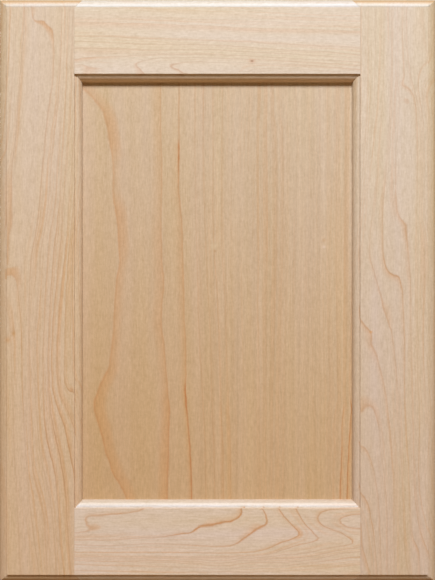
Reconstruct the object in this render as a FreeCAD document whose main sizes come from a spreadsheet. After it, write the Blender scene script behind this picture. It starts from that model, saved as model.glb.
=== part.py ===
# A cope-and-stick cabinet door: two stiles, two rails and one flat panel held in a groove.
#
# The door stands upright with its front facing -Y, its width along X and its height along Z.
# The origin is at the middle of the bottom edge, half way through the thickness. All sizes are
# in millimetres.
#
# Every frame piece is the same moulding. From the outer edge inwards its front has a quarter
# round with a small square step, a flat face, then a smaller quarter round with its own step,
# which looks into the opening. Behind that inner round runs the groove for the panel. The rail
# ends are coped: they fit over the round of the stile, and a stub tongue enters its groove.

import FreeCAD, Part
import math
import os
import re

import Sketcher

SIZES = {
    "door_width": 304.8,
    "door_height": 406.4,
    "door_thickness": 19.05,
    "stile_width": 58.2,
    "rail_width": 57.5,
    # the moulding round the outside of the door
    "edge_round": 6.35,
    "edge_step": 1.3,
    # the moulding round the opening
    "bead_round": 5.05,
    "bead_step": 1.3,
    # the groove, and how the panel and the rail ends sit in it
    "groove_depth": 9.5,
    "panel_thickness": 6.0,
    "panel_play": 0.3,
    "panel_edge_gap": 4.0,
    "tongue_end_gap": 0.6,
    "glue_gap": 0.05,
    # the rubber barrels that keep the panel in the middle of its groove
    "spacer_length": 10.0,
    "spacer_inset": 50.0,
    # the hinge bores in the back of the left stile
    "cup_diameter": 35.0,
    "cup_depth": 12.5,
    "cup_from_edge": 21.5,
    "cup_from_end": 76.2,
    "peg_diameter": 8.0,
    "peg_depth": 11.0,
    "peg_spacing": 45.0,
    "peg_beyond_cup": 9.5,
}

doc = FreeCAD.newDocument("cabinet_door")
sheet = doc.addObject("Spreadsheet::Sheet", "sizes")
for row, (alias, size) in enumerate(SIZES.items(), start=1):
    sheet.set(f"A{row}", alias)
    sheet.set(f"B{row}", str(size))
    sheet.setAlias(f"B{row}", alias)
doc.recompute()


def size(expression):
    """What an expression on the sheet's cells is worth now, in millimetres."""
    return float(sheet.evalExpression(expression))


# Distances that several pieces share, as expressions on the sheet's cells.
LIP = "(bead_step + bead_round)"  # from the front face down to the groove
GROOVE = "(panel_thickness + panel_play)"  # the groove's width
OPENING_WIDTH = "(door_width - 2 * stile_width)"
PANEL_REACH = "(groove_depth - panel_edge_gap)"  # how far the panel enters the groove
TONGUE_REACH = "(groove_depth - tongue_end_gap)"  # how far a rail's tongue enters the groove
GROOVE_MIDDLE = f"({LIP} + {GROOVE} / 2)"


def bind(thing, name, expression):
    """Ties one property of an object to an expression, in which every word is a cell's alias."""
    thing.setExpression(name, re.sub("[a-z_]+", r"sizes.\g<0>", expression))


def place(piece, x, y, z, turn=None):
    """Puts a piece at a place given by three expressions, turned first if a rotation is given."""
    if turn:
        piece.Placement = FreeCAD.Placement(FreeCAD.Vector(), turn)
    for axis, expression in zip("xyz", (x, y, z)):
        bind(piece, f"Placement.Base.{axis}", expression)


def new_body(label):
    body = doc.addObject("PartDesign::Body", label)
    body.Label = label
    return body


def new_sketch(body, name, plane):
    """An empty sketch on one of the body's own origin planes."""
    sketch = body.newObject("Sketcher::SketchObject", name)
    face = next(o for o in body.Origin.OriginFeatures if o.Role == plane)
    sketch.AttachmentSupport = [(face, "")]
    sketch.MapMode = "FlatFace"
    return sketch


def hold(sketch, geometry, point, corner):
    """Dimensions one point of a sketch from its origin, each distance tied to the sheet."""
    for kind, expression in zip(("DistanceX", "DistanceY"), corner):
        number = sketch.addConstraint(
            Sketcher.Constraint(kind, -1, 1, geometry, point, size(expression))
        )
        bind(sketch, f"Constraints[{number}]", expression)


def draw_outline(sketch, corners):
    """Draws one closed outline through corners given as pairs of expressions.

    A third entry in a corner is the centre of a quarter round that leads from it to the next.
    """
    first = sketch.GeometryCount
    points = [FreeCAD.Vector(size(c[0]), size(c[1]), 0) for c in corners]
    ends = []
    for number, corner in enumerate(corners):
        start, end = points[number], points[(number + 1) % len(points)]
        if len(corner) == 2:
            sketch.addGeometry(Part.LineSegment(start, end))
            ends.append((1, 2))
            continue
        centre = FreeCAD.Vector(size(corner[2][0]), size(corner[2][1]), 0)
        angles = [math.atan2(p.y - centre.y, p.x - centre.x) for p in (start, end)]
        turns_left = math.sin(angles[1] - angles[0]) > 0
        if not turns_left:
            angles.reverse()
        circle = Part.Circle(centre, FreeCAD.Vector(0, 0, 1), (start - centre).Length)
        sketch.addGeometry(Part.ArcOfCircle(circle, *angles))
        ends.append((1, 2) if turns_left else (2, 1))
    for number, corner in enumerate(corners):
        follower = (number + 1) % len(corners)
        sketch.addConstraint(
            Sketcher.Constraint(
                "Coincident", first + number, ends[number][1], first + follower, ends[follower][0]
            )
        )
        hold(sketch, first + number, ends[number][0], corner[:2])
        if len(corner) == 3:
            rise = sketch.addConstraint(
                Sketcher.Constraint("DistanceY", -1, 1, first + number, 3, size(corner[2][1]))
            )
            bind(sketch, f"Constraints[{rise}]", corner[2][1])


def add_pad(body, sketch, length, symmetric=False):
    pad = body.newObject("PartDesign::Pad", f"{sketch.Name}_run")
    pad.Profile = sketch
    pad.SideType = "Symmetric" if symmetric else "One side"
    bind(pad, "Length", length)
    doc.recompute()
    return pad


def add_pocket(body, sketch, length, symmetric=False, along_normal=False):
    """Cuts a sketch out of a body, and stops if the cut took nothing away."""
    before = body.Shape.Volume
    pocket = body.newObject("PartDesign::Pocket", f"{sketch.Name}_cut")
    pocket.Profile = sketch
    pocket.SideType = "Symmetric" if symmetric else "One side"
    pocket.Reversed = along_normal
    bind(pocket, "Length", length)
    doc.recompute()
    if body.Shape.Volume >= before:
        raise ValueError(f"{sketch.Name} cuts nothing out of {body.Label}")
    return pocket


def swapped(corners):
    """The same corners for a sketch whose two directions are the other way round."""
    return [(second, first, *[c[::-1] for c in centre]) for first, second, *centre in corners]


def moulding(width):
    """The outline of a frame piece as (across, depth), from its outer edge to the opening."""
    flat_end = f"{width} - bead_round"
    edge_foot = "edge_step + edge_round"
    return [
        ("edge_round", "0"),
        (flat_end, "0"),
        (flat_end, "bead_step", (flat_end, LIP)),
        (width, LIP),
        (f"{width} - groove_depth", LIP),
        (f"{width} - groove_depth", f"{LIP} + {GROOVE}"),
        (width, f"{LIP} + {GROOVE}"),
        (width, "door_thickness"),
        ("0", "door_thickness"),
        ("0", edge_foot, ("edge_round", edge_foot)),
        ("edge_round", "edge_step"),
    ]


def edge_waste(end, inwards):
    """What the outer moulding takes off a stile end, as (depth, height).

    The waste runs out past the wood by the size of the round.
    """
    shoulder = f"{end} {inwards} edge_round"
    beyond = f"{end} {'-' if inwards == '+' else '+'} edge_round"
    foot = "edge_step + edge_round"
    return [
        ("-edge_round", beyond),
        ("-edge_round", shoulder),
        ("edge_step", shoulder, (foot, shoulder)),
        (foot, end),
        (foot, beyond),
    ]


def cope_waste(side):
    """What is cut from the front and the back of one rail end, as (across, depth) outlines.

    side is the sign of the end. The front cut leaves the hollow that fits over the stile's
    round, the back cut leaves a square shoulder, and the tongue stands between them. Both cuts
    run out past the wood.
    """

    def across(distance):
        return f"{side} * ({distance})"

    shoulder = f"{OPENING_WIDTH} / 2 - glue_gap"
    beyond = f"{OPENING_WIDTH} / 2 + 2 * groove_depth"
    hollow_top = f"{shoulder} + bead_round"
    tongue_back = f"{LIP} + {GROOVE} - glue_gap"
    hollow_middle = f"{LIP} - glue_gap"
    front = [
        (across(beyond), "-bead_round"),
        (across(hollow_top), "-bead_round"),
        (across(hollow_top), "bead_step - glue_gap", (across(hollow_top), hollow_middle)),
        (across(shoulder), hollow_middle),
        (across(shoulder), f"{LIP} + glue_gap"),
        (across(beyond), f"{LIP} + glue_gap"),
    ]
    back = [
        (across(shoulder), tongue_back),
        (across(beyond), tongue_back),
        (across(beyond), "2 * door_thickness"),
        (across(shoulder), "2 * door_thickness"),
    ]
    return front, back


def make_stile(label, x, z, turn=None):
    """An upright frame piece, moulded along both edges and across both ends."""
    stile = new_body(label)
    section = new_sketch(stile, f"{label}_section", "XY_Plane")
    draw_outline(section, moulding("stile_width"))
    add_pad(stile, section, "door_height")
    ends = new_sketch(stile, f"{label}_ends", "YZ_Plane")
    draw_outline(ends, edge_waste("0", "+"))
    draw_outline(ends, edge_waste("door_height", "-"))
    add_pocket(stile, ends, "stile_width", along_normal=True)
    place(stile, x, "-door_thickness / 2", z, turn)
    return stile


def bore_holes(stile, name, diameter, depth, centres):
    """Blind holes in the back of a stile, at centres given as (across, height)."""
    bores = new_sketch(stile, name, "XZ_Plane")
    bind(bores, "AttachmentOffset.Base.z", "-door_thickness")
    for centre in centres:
        middle = FreeCAD.Vector(size(centre[0]), size(centre[1]), 0)
        circle = Part.Circle(middle, FreeCAD.Vector(0, 0, 1), size(diameter) / 2)
        number = bores.addGeometry(circle)
        hold(bores, number, 3, centre)
        width = bores.addConstraint(Sketcher.Constraint("Diameter", number, size(diameter)))
        bind(bores, f"Constraints[{width}]", diameter)
    add_pocket(stile, bores, depth, along_normal=True)


def bore_for_hinges(stile):
    """Two cup bores, one near each end, each with its pair of peg holes."""
    heights = ("cup_from_end", "door_height - cup_from_end")
    cups = [("cup_from_edge", height) for height in heights]
    pegs = [
        ("cup_from_edge + peg_beyond_cup", f"{height} {side} peg_spacing / 2")
        for height in heights
        for side in "-+"
    ]
    bore_holes(stile, "cup_bores", "cup_diameter", "cup_depth", cups)
    bore_holes(stile, "peg_bores", "peg_diameter", "peg_depth", pegs)


def make_rail(label, z, turn=None):
    """A cross piece of the same moulding, coped to fit the stiles at both ends."""
    rail = new_body(label)
    section = new_sketch(rail, f"{label}_section", "YZ_Plane")
    draw_outline(section, swapped(moulding("rail_width")))
    add_pad(rail, section, f"{OPENING_WIDTH} + 2 * {TONGUE_REACH}", symmetric=True)
    copes = new_sketch(rail, f"{label}_copes", "XY_Plane")
    for side in ("-1", "1"):
        for outline in cope_waste(side):
            draw_outline(copes, outline)
    add_pocket(rail, copes, "2 * rail_width", symmetric=True)
    place(rail, "0", "-door_thickness / 2", z, turn)
    return rail


def make_panel():
    """The flat panel, let into the groove on all four sides."""
    panel = new_body("panel")
    outline = new_sketch(panel, "panel_outline", "XZ_Plane")
    half_width = f"{OPENING_WIDTH} / 2 + {PANEL_REACH}"
    bottom = f"rail_width - {PANEL_REACH}"
    top = f"door_height - rail_width + {PANEL_REACH}"
    draw_outline(
        outline,
        [
            (f"-({half_width})", bottom),
            (half_width, bottom),
            (half_width, top),
            (f"-({half_width})", top),
        ],
    )
    add_pad(panel, outline, "panel_thickness", symmetric=True)
    place(panel, "0", f"{GROOVE_MIDDLE} - door_thickness / 2", "0")
    return panel


def make_spacer(label, x, z, turn):
    """A rubber barrel that lies in the groove between its bottom and the panel's edge."""
    barrel = doc.addObject("Part::Cylinder", label)
    barrel.Label = label
    bind(barrel, "Radius", "panel_edge_gap / 2")
    bind(barrel, "Height", "spacer_length")
    place(barrel, x, f"{GROOVE_MIDDLE} - door_thickness / 2", z, turn)
    return barrel


def make_spacers():
    """Two barrels in each of the four grooves, the same distance from the panel's corners."""
    upright = None
    lying = FreeCAD.Rotation(FreeCAD.Vector(0, 1, 0), 90)
    beside = f"({OPENING_WIDTH} / 2 + {PANEL_REACH} + panel_edge_gap / 2)"
    below = f"rail_width - {PANEL_REACH} - panel_edge_gap / 2"
    above = f"door_height - rail_width + {PANEL_REACH} + panel_edge_gap / 2"
    spacers = []
    for side, sign in (("left", "-1"), ("right", "1")):
        for level, height in (
            ("lower", f"rail_width - {PANEL_REACH} + spacer_inset"),
            ("upper", f"door_height - rail_width + {PANEL_REACH} - spacer_inset"),
        ):
            start = f"{height} - spacer_length / 2"
            name = f"panel_spacer_{side}_{level}"
            spacers.append(make_spacer(name, f"{sign} * {beside}", start, upright))
        reach = f"{sign} * ({OPENING_WIDTH} / 2 + {PANEL_REACH} - spacer_inset)"
        for edge, height in (("bottom", below), ("top", above)):
            start = f"{reach} - spacer_length / 2"
            spacers.append(make_spacer(f"panel_spacer_{edge}_{side}", start, height, lying))
    return spacers


def check(pieces):
    """Stops if anything failed to build, or if a piece is not one sound solid."""
    doc.recompute()
    for thing in doc.Objects:
        if {"Invalid", "Error"} & set(thing.State):
            raise ValueError(f"{thing.Label} did not build: {thing.State}")
    for piece in pieces:
        shape = piece.Shape
        if shape.isNull() or not shape.isValid() or len(shape.Solids) != 1:
            raise ValueError(f"{piece.Label} is not one sound solid")


half_turn = FreeCAD.Rotation(FreeCAD.Vector(0, 1, 0), 180)
left_stile = make_stile("left_stile", "-door_width / 2", "0")
bore_for_hinges(left_stile)
right_stile = make_stile("right_stile", "door_width / 2", "door_height", half_turn)
bottom_rail = make_rail("bottom_rail", "0")
top_rail = make_rail("top_rail", "door_height", half_turn)
pieces = [left_stile, right_stile, bottom_rail, top_rail, make_panel(), *make_spacers()]
check(pieces)

os.makedirs("parts", exist_ok=True)
for piece in pieces:
    piece.Shape.exportStep(f"parts/{piece.Label}.step")
    box = piece.Shape.BoundBox
    print(f"{piece.Label}: {box.XLength:.2f} x {box.YLength:.2f} x {box.ZLength:.2f} mm")
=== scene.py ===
# %% [markdown]
# # A maple cabinet door
#
# The door is five pieces of maple: two stiles, two rails and a flat panel in a groove. Its
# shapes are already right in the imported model, so this script is about the wood: which way the
# grain runs in each board, where its growth lines fall, and how light plays on the mouldings.

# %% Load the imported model
import math

import bmesh
import bpy
import numpy as np
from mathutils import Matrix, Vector


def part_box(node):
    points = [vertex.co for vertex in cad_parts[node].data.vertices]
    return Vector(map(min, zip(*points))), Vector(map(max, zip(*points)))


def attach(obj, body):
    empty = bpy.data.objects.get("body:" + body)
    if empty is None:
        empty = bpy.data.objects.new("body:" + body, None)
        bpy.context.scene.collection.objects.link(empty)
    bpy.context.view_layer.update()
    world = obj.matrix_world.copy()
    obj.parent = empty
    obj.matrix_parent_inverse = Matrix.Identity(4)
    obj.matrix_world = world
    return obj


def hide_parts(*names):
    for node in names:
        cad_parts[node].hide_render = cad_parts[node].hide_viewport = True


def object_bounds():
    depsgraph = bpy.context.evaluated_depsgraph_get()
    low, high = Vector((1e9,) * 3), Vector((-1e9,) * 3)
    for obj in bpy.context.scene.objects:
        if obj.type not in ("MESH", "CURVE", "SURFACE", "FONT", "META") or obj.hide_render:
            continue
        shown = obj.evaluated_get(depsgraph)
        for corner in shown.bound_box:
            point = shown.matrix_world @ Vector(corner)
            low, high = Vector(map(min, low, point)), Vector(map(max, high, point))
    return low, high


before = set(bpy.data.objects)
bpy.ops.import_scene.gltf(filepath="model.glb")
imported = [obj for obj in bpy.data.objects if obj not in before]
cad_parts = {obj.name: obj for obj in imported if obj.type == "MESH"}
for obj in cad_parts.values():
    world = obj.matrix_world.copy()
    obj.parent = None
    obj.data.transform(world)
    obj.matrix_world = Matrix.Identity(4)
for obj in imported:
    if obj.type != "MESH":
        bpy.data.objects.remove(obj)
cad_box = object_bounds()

print("pieces in the model:", ", ".join(sorted(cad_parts)))

# %% [markdown]
# ## The camera
#
# The door was photographed square on, from a little under a metre. A long lens at that distance
# shows the inner sides of the mouldings by just the right amount. The camera comes first,
# because the growth lines below were read off the photograph in pixels, and the same numbers
# turn a pixel into a place on the door.

# %% Set up the camera
PHOTO_SIZE = (435, 580)
PIXEL = 0.6937e-3  # metres of door face to one pixel
DISTANCE = 0.8056  # from the lens to the front face
SENSOR = 36.0
front_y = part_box("left_stile")[0].y
door_width = cad_box[1][0] - cad_box[0][0]
door_height = cad_box[1][2] - cad_box[0][2]
view_centre = Vector((0.0001, front_y, door_height / 2 + 0.0007))

camera = bpy.data.objects.new("camera", bpy.data.cameras.new("camera"))
bpy.context.scene.collection.objects.link(camera)
camera.location = view_centre - Vector((0, DISTANCE, 0))
camera.rotation_euler = (math.radians(90), 0, 0)
camera.data.sensor_width = SENSOR
camera.data.lens = SENSOR * DISTANCE / (PIXEL * PHOTO_SIZE[1])
bpy.context.scene.camera = camera
print(f"lens {camera.data.lens:.1f} mm, {DISTANCE} m from the face")


def on_board(pixel, depth):
    """Where a pixel of the photograph lands, as (x, z), on a face this far behind the front."""
    scale = PIXEL * (DISTANCE + depth) / DISTANCE
    across = (pixel[0] - PHOTO_SIZE[0] / 2) * scale
    up = (PHOTO_SIZE[1] / 2 - pixel[1]) * scale
    return view_centre.x + across, view_centre.z + up


# %% [markdown]
# ## The figure of the wood
#
# A board's growth lines are slices through the tree's rings, so they never cross, and the wood
# between two of them belongs to one year. That is what makes a contour map a good model: give
# every growth line a number, lay a smooth surface through all of them, and the lines are where
# the surface crosses a whole number. Everything between them follows the same flow for free.
# Noise alone could give some maple, but not this one, and drawn curves would stop at the face,
# where real rings go on over the mouldings and through to the back.
#
# Each list below is a board's figure. A line has its ring number, how bold it is, how much of its
# colour glows beside it, how many pixels that glow reaches (towards the higher numbers, or the
# lower ones if it is negative) and a few pixels of the photograph that the line passes through.
# A long line is listed in stretches, because it is bolder in some places than in others. The
# entries without any boldness aren't lines. They hold the surface at a number between two rings,
# where it would otherwise cross a whole one and draw a line that the board hasn't got.
#
# The left stile's lines run from end to end and crowd together towards the joint. The first two
# bend over in an arch, one near the top and one half way down.

# %% The left stile's lines
LEFT_STILE_LINES = [
    (1.6, 0, 0, 2, [(37, 30), (42, 42)]),
    (2.5, 0, 0, 2, [(46, 8), (52, 18)]),
    (0, 0.12, 0, 2, [(17, 8), (15, 40), (13, 70), (11, 100), (9, 130), (7, 150)]),
    (0, 0.3, 0, 2, [(11, 350), (12.5, 400), (14, 450), (16, 480), (18, 520), (20, 560),
                    (21, 574)]),
    (1, 0.45, 0.1, -3, [(25, 6), (24, 30), (22, 50), (21, 62), (20, 78), (18.5, 95), (17.5, 110)]),
    (1, 0.4, 0.15, -3, [(17.5, 110), (16.5, 125), (15, 140), (13.5, 152), (12.5, 162),
                        (11.5, 178)]),
    (1, 0.35, 0.55, -3, [(11.5, 178), (11.5, 200), (11, 218), (9.5, 230), (8, 245), (7, 262)]),
    (1, 0.2, 0.85, 5, [(4, 274), (10, 273), (15, 275), (17, 281)]),
    (1, 0.3, 0.2, 3, [(17, 281), (18, 290), (19, 302), (20.5, 318), (21.5, 340), (22, 360)]),
    (1, 0.3, 0, 2, [(22, 360), (23, 400), (24.5, 430), (26, 452), (27, 475), (29, 495),
                    (31, 515)]),
    (1, 0.4, 0, 2, [(31, 515), (33.5, 535), (36, 552), (38, 565), (39, 575)]),
    (2, 0.2, 0.5, 4, [(31.5, 7), (32, 13), (34, 20)]),
    (2, 0.2, 1.0, -5, [(34, 20), (38, 20.5), (43, 20.5)]),
    (2, 0.35, 1.0, -4, [(43, 20.5), (48, 25), (51, 30), (53, 36)]),
    (2, 0.4, 0.5, -2, [(53, 36), (54, 48), (54, 58), (53.5, 70), (53, 82), (51, 92)]),
    (2, 0.5, 0.2, 2, [(51, 92), (49.5, 103), (48, 114), (46.5, 124), (45.5, 134), (44.5, 145)]),
    (2, 0.5, 0.2, 2, [(44.5, 145), (42.5, 168), (41.5, 180), (40, 195), (39, 205), (38, 218)]),
    (2, 0.5, 0.2, 2, [(38, 218), (36, 230), (34, 242), (32, 253), (31, 262), (30, 272)]),
    (2, 0.3, 0.1, 2, [(30, 272), (29, 300), (29, 345), (29.5, 380), (30, 420), (31, 450)]),
    (2, 0.3, 0, 2, [(31, 450), (33, 470), (36, 485), (40, 497), (43, 512), (45, 530), (47, 575)]),
    (3, 0.2, 0, 2, [(62, 10), (61, 40), (59.5, 75), (58, 100), (56, 120), (53, 142), (51, 160)]),
    (3, 0.3, 0, 2, [(51, 160), (50, 180), (49, 200), (47, 215), (44.5, 230), (42, 243),
                    (40.5, 256)]),
    (3, 0.25, 0, 2, [(40.5, 256), (39.5, 270), (38, 295), (36.5, 312), (35, 330), (34.5, 350)]),
    (3, 0.25, 0, 2, [(34.5, 350), (35, 380), (36.5, 410), (38, 435), (40, 455), (43.5, 470)]),
    (3, 0.3, 0, 2, [(43.5, 470), (47, 484), (50, 498), (52.5, 515), (54.5, 535), (57, 575)]),
    (4, 0.25, 0, 2, [(66, 10), (64, 45), (63, 80), (61, 110), (59, 140), (57, 165), (56, 190)]),
    (4, 0.35, 0.15, 3, [(56, 190), (54, 210), (50, 235), (48, 255), (46, 280), (45, 300),
                        (44, 330)]),
    (4, 0.35, 0.15, 3, [(44, 330), (43, 350), (43, 390), (44, 410), (45, 425)]),
    (4, 0.8, 0.35, 3, [(45, 425), (47, 440), (50, 452), (53, 465), (55.5, 478)]),
    (4, 0.4, 0.1, 2, [(55.5, 478), (57, 495), (58.5, 520), (60, 545), (62, 560), (64, 575)]),
    (5, 0.3, 0, 2, [(70, 10), (68, 50), (66.5, 90), (65, 120), (63, 150), (61, 175), (60, 200)]),
    (5, 0.45, 0.25, 3, [(60, 200), (57, 225), (54, 250), (52, 275), (50, 300), (49, 330),
                        (48, 360)]),
    (5, 0.4, 0.25, 3, [(48, 360), (48.5, 390), (51, 415)]),
    (5, 0.85, 0.35, 3, [(51, 415), (54, 432), (57, 445), (60, 457), (62, 470), (64, 480),
                        (66, 497)]),
    (5, 0.5, 0.2, 3, [(66, 497), (67, 520), (68, 540), (70, 560)]),
    (6, 0.35, 0, 2, [(73, 15), (71.5, 60), (71, 90), (69, 125), (67.5, 150), (65, 185),
                     (62, 215)]),
    (6, 0.5, 0.25, 3, [(62, 215), (60, 250), (57, 280), (54, 310), (52, 335), (51, 360),
                       (52, 385)]),
    (6, 0.75, 0.5, 4, [(52, 385), (55, 400), (60, 415), (64, 424), (67, 437), (69.5, 450)]),
    (6, 0.9, 0.4, 3, [(69.5, 450), (71.5, 460), (74, 472)]),
    (7, 0.35, 0.1, 3, [(76, 120), (73, 150), (71, 175), (69, 200), (67, 235)]),
    (7, 0.5, 0.7, 5, [(67, 235), (65, 255), (62, 280), (60, 300), (58.5, 320)]),
    (7, 0.4, 0.5, 5, [(58.5, 320), (57, 345), (57, 370), (60, 395), (67, 410), (73, 425)]),
    (8, 0.4, 0.3, 3, [(74, 195), (72, 220), (69, 250), (67, 280), (66, 300), (65, 335),
                      (64, 375)]),
    (8, 0.25, 0.1, 2, [(64, 375), (65, 384)]),
    (8, 1.0, 0.8, 2, [(65, 384), (67, 388), (69, 391)]),
    (8, 0.5, 0.4, 2, [(69, 391), (74, 392)]),
]
print(len(LEFT_STILE_LINES), "stretches on the left stile")

# %% [markdown]
# The right stile was sawn where the rings lean the other way. Its lines set out from the joint
# and step down to the right, wide apart.

# %% The right stile's lines
RIGHT_STILE_LINES = [
    (0.55, 0, 0, 2, [(407, 112), (407, 150), (406, 180), (407, 212)]),
    (1.4, 0, 0, 2, [(393, 222), (398, 245)]),
    (-2, 0.2, 0.1, 2, [(424, 10), (424, 30), (426, 45), (428, 60)]),
    (-1, 0.3, 0.1, 2, [(406.5, 8), (406.5, 35), (408, 58), (411, 78), (415, 92)]),
    (-1, 0.1, 0, 2, [(415, 92), (418, 105), (420.5, 125), (421, 160), (421, 220)]),
    (0, 0.5, 0.5, 3, [(401.5, 84.5), (405, 86), (409, 89), (412.5, 93), (415, 100)]),
    (0, 0.45, 0.3, 2, [(415, 100), (416.5, 112), (417.5, 130), (418, 150), (418, 190)]),
    (0, 0.3, 0.1, 2, [(418, 190), (418.5, 240), (417.5, 300), (417, 340), (418, 380), (420, 420)]),
    (1, 0.25, 0, 2, [(398, 8), (398, 60), (398.5, 95), (398, 120), (397, 140), (395.5, 158)]),
    (1, 0.3, 0.3, -2, [(395.5, 158), (395, 175), (395.5, 188)]),
    (1, 0.35, 0.5, 2, [(395.5, 188), (396.5, 200), (397.5, 212), (400, 218), (403, 222)]),
    (1, 0.7, 0.7, 2, [(403, 222), (405.5, 227), (406.5, 236), (408, 248)]),
    (1, 0.45, 0.15, 2, [(408, 248), (409, 262), (410.5, 280), (411, 300), (411, 330), (412, 390)]),
    (1, 0.25, 0, 2, [(412, 390), (413, 430), (414, 480), (415, 498)]),
    (2, 0.3, 0, 2, [(391.5, 8), (391.5, 40), (391, 90), (390, 110), (387.5, 145), (386, 175)]),
    (2, 0.5, 0.3, 2, [(386, 175), (383.5, 200), (382.5, 220), (382.5, 235), (383, 250)]),
    (2, 0.7, 0.5, 2, [(383, 250), (384.5, 262), (386, 268), (389, 272)]),
    (2, 1.0, 0.9, 3, [(389, 272), (392, 274.5), (396, 276), (399.5, 278)]),
    (2, 0.7, 0.5, 2, [(399.5, 278), (401, 284), (402.5, 292)]),
    (2, 0.4, 0.1, 2, [(402.5, 292), (404, 320), (404.5, 345), (405, 395), (407, 445), (409, 465)]),
    (2, 0.35, 0, 2, [(409, 465), (409.5, 490), (411, 520), (413, 538)]),
    (2, 0.6, 0.7, 3, [(413, 538), (415, 544), (417.5, 547), (419.5, 554)]),
    (2, 0.3, 0, 2, [(419.5, 554), (420, 574)]),
    (3, 0.2, 0, 2, [(384, 15), (384, 45), (383.5, 80), (382.5, 105), (379.5, 135), (376.5, 180)]),
    (3, 0.35, 0, 2, [(376.5, 180), (373.5, 205), (370.5, 230), (369.5, 242), (369.5, 252)]),
    (3, 0.6, 0.2, 2, [(369.5, 252), (371, 262), (374, 272), (377, 282), (380, 292), (382.5, 300)]),
    (3, 0.55, 0.4, -3, [(382.5, 300), (384, 310), (386.5, 318), (389, 325), (391.5, 333)]),
    (3, 0.5, 0.2, 2, [(391.5, 333), (393, 342), (394.5, 352), (395.5, 362), (397, 375),
                      (398, 388)]),
    (3, 0.3, 0, 2, [(398, 388), (399.5, 430), (401, 455), (403, 500), (403.5, 520), (405, 552)]),
    (3, 0.4, 0, 2, [(405, 552), (407, 562), (409, 574)]),
    (4, 0.2, 0, 2, [(376, 15), (375.5, 50), (374, 100), (371.5, 130), (368.5, 160), (363, 215)]),
    (4, 0.8, 0.6, 2, [(358, 317), (362, 322), (366, 327), (369, 331), (371, 333)]),
    (4, 0.7, 0.5, 3, [(371, 333), (370.5, 338), (372, 345), (375, 352)]),
    (4, 0.45, 0.3, 2, [(375, 352), (378, 362), (381, 372), (383.5, 382), (385, 390),
                       (386.5, 400)]),
    (4, 0.35, 0.1, 2, [(386.5, 400), (388, 415), (389.5, 430), (392, 460), (393.5, 480),
                       (394, 574)]),
    (5, 0.2, 0, 2, [(368, 15), (367.5, 60), (366.5, 100), (365, 140), (363, 170), (361, 190)]),
    (5, 0.55, 0.5, -3, [(358, 414), (362.5, 409), (365, 406), (368, 405), (371, 405.5),
                        (374, 409)]),
    (5, 0.5, 0.4, -2, [(374, 409), (376, 415), (378, 422), (379.5, 432)]),
    (5, 0.3, 0, 2, [(379.5, 432), (382, 460), (384, 475), (387, 505), (388, 574)]),
    (6, 0.5, 0.5, 2, [(358, 446), (363, 446), (366, 449), (369, 454), (371, 460)]),
    (6, 0.45, 0.2, 2, [(371, 460), (375, 476), (378, 496), (379.5, 515), (380, 540), (381, 574)]),
    (7, 0.7, 0.6, 2, [(357, 489), (362, 494), (365, 498), (367.5, 503), (369.5, 510), (371, 518)]),
    (7, 0.65, 0.6, -3, [(371, 518), (372.5, 526), (374, 535), (375, 545)]),
    (7, 0.4, 0.2, 2, [(375, 545), (376, 556), (377, 574)]),
    (8, 0.5, 0.5, 2, [(361, 525), (361.5, 540), (363, 550), (365, 557), (367.5, 565), (370, 574)]),
]
print(len(RIGHT_STILE_LINES), "stretches on the right stile")

# %% [markdown]
# The top rail is the quietest board: nearly straight lines, and a few that turn back at its lower
# edge, where the moulding cuts through a ring.

# %% The top rail's lines
TOP_RAIL_LINES = [
    (5.6, 0, 0, 2, [(100, 62), (120, 64), (128, 72)]),
    (6.5, 0, 0, 2, [(150, 65), (160, 71)]),
    (7.4, 0, 0, 2, [(186, 67), (205, 69), (240, 70)]),
    (6.3, 0, 0, 2, [(77, 67), (81, 68)]),
    (0, 0.12, 0, 2, [(76, 14), (110, 15), (150, 17), (190, 19), (230, 20.5), (300, 23),
                     (360, 25)]),
    (1, 0.15, 0.45, 5, [(76, 22.5), (100, 22.5), (140, 23.5), (180, 24.5), (215, 26)]),
    (1, 0.15, 0.45, 4, [(215, 26), (250, 28), (300, 29), (340, 30), (360, 31)]),
    (2, 0.2, 0, 2, [(76, 36.5), (110, 37), (150, 39), (200, 40.5), (240, 41.5), (280, 44),
                    (360, 48)]),
    (3, 0.35, 0.1, 2, [(76, 41.5), (100, 42), (120, 43)]),
    (3, 0.6, 0.15, 2, [(120, 43), (135, 43.8), (150, 44)]),
    (3, 0.35, 0.1, 2, [(150, 44), (200, 44.5), (235, 46.5), (280, 50), (330, 52), (360, 55)]),
    (4, 0.35, 0.1, 2, [(76, 47.5), (100, 48.5), (150, 50), (210, 49.5), (240, 51), (280, 53),
                       (360, 58)]),
    (5, 0.45, 0.8, 3, [(77, 60), (82, 58.5), (90, 57.5), (100, 57), (112, 56.5)]),
    (5, 0.35, 0, 2, [(112, 56.5), (145, 55), (200, 54.5), (230, 55.5), (300, 59.5), (360, 62)]),
    (6, 0.3, 0, 2, [(360, 65), (320, 62.5), (290, 60.5), (250, 59), (215, 58), (190, 57),
                    (160, 57.5)]),
    (6, 0.4, 0.1, 2, [(160, 57.5), (148, 59), (140, 61.5), (136, 63.5)]),
    (6, 0.5, 0.6, -5, [(136, 63.5), (138, 67), (141, 70), (144, 74)]),
    (7, 0.3, 0, 2, [(360, 70), (340, 68), (315, 66), (290, 64.5), (260, 63.5), (230, 62.5),
                    (200, 61.5)]),
    (7, 0.5, 0.2, 2, [(200, 61.5), (185, 62), (176, 63.5), (171, 65.5)]),
    (7, 0.75, 0.5, -2, [(171, 65.5), (175, 68), (180, 70.5), (187, 74)]),
    (6, 0.4, 0.6, 3, [(84, 64.5), (88, 65), (91, 66.5), (88, 69), (84, 71)]),
]
print(len(TOP_RAIL_LINES), "stretches on the top rail")

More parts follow.
